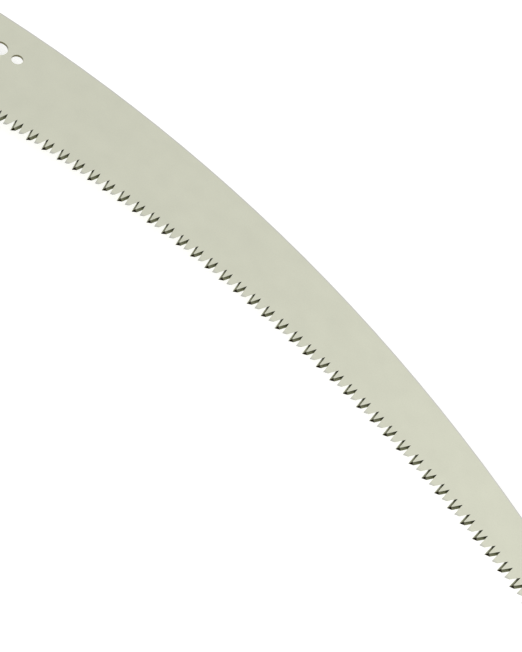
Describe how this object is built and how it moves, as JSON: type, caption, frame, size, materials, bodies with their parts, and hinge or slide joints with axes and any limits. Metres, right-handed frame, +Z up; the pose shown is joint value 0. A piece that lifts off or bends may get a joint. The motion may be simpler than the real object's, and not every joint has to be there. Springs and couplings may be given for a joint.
{
  "type": "telescoping pole saw",
  "caption": "Three oval tubes that slide in one another, held by two lever clamps, carry a long curved pruning blade with fine tri-edge teeth.",
  "frame": {"origin": "middle of the flat butt end of the pole", "axes": "+X along the pole towards the blade tip, +Y towards the blade back edge, +Z up, square to the flat of the blade"},
  "size_m": [1.4937, 0.1671, 0.0466],
  "materials": {
    "anodised_aluminium": "satin anodised",
    "cast_aluminium": "shot blasted",
    "black_nylon": "moulded",
    "orange_nylon": "moulded",
    "white_acetal": "moulded",
    "black_rubber": "moulded",
    "zinc_steel": "zinc plated",
    "blade_steel": "satin plated"
  },
  "bodies": {
    "handle": {"end_cap": "black_rubber", "outer_tube": "anodised_aluminium", "rear_grip": "black_rubber", "front_grip": "black_rubber", "collar_1": "black_nylon", "collar_liner_1": "white_acetal", "collar_screws_1": "zinc_steel", "draw_bolt_1": "zinc_steel", "cam_barrel_1": "zinc_steel", "cam_washer_1": "zinc_steel"},
    "lever_1": {"clamp_lever_1": "orange_nylon"},
    "middle": {"middle_tube": "anodised_aluminium", "guide_bush_2": "white_acetal", "collar_2": "black_nylon", "collar_liner_2": "white_acetal", "collar_screws_2": "zinc_steel", "draw_bolt_2": "zinc_steel", "cam_barrel_2": "zinc_steel", "cam_washer_2": "zinc_steel"},
    "lever_2": {"clamp_lever_2": "orange_nylon"},
    "inner": {"inner_tube": "anodised_aluminium", "end_plug_3": "white_acetal", "saw_head": "cast_aluminium", "head_bolts": "zinc_steel", "head_nuts": "zinc_steel", "saw_blade": "blade_steel", "clamp_plate": "zinc_steel", "blade_bolts": "zinc_steel", "blade_washers": "zinc_steel"},
    "wing_rear": {"wing_nut_rear": "zinc_steel"},
    "wing_front": {"wing_nut_front": "zinc_steel"}
  },
  "joints": [
    {"name": "stage_2_slide", "type": "slide", "parent": "handle", "child": "middle", "axis": [1, 0, 0], "range_m": [0, 0.6]},
    {"name": "stage_3_slide", "type": "slide", "parent": "middle", "child": "inner", "axis": [1, 0, 0], "range_m": [0, 0.65]},
    {"name": "clamp_lever_1_pivot", "type": "hinge", "parent": "handle", "child": "lever_1", "pos_m": [0.846, 0.0325, 0.01725], "axis": [-1, 0, 0], "range_deg": [0, 140]},
    {"name": "clamp_lever_2_pivot", "type": "hinge", "parent": "middle", "child": "lever_2", "pos_m": [0.926, 0.0298, 0.01725], "axis": [-1, 0, 0], "range_deg": [0, 140]},
    {"name": "wing_nut_rear_turn", "type": "hinge", "parent": "inner", "child": "wing_rear", "pos_m": [1.0213, 0, 0.009], "axis": [0, 0, 1], "continuous": true},
    {"name": "wing_nut_front_turn", "type": "hinge", "parent": "inner", "child": "wing_front", "pos_m": [1.0593, 0, 0.009], "axis": [0, 0, 1], "continuous": true}
  ]
}
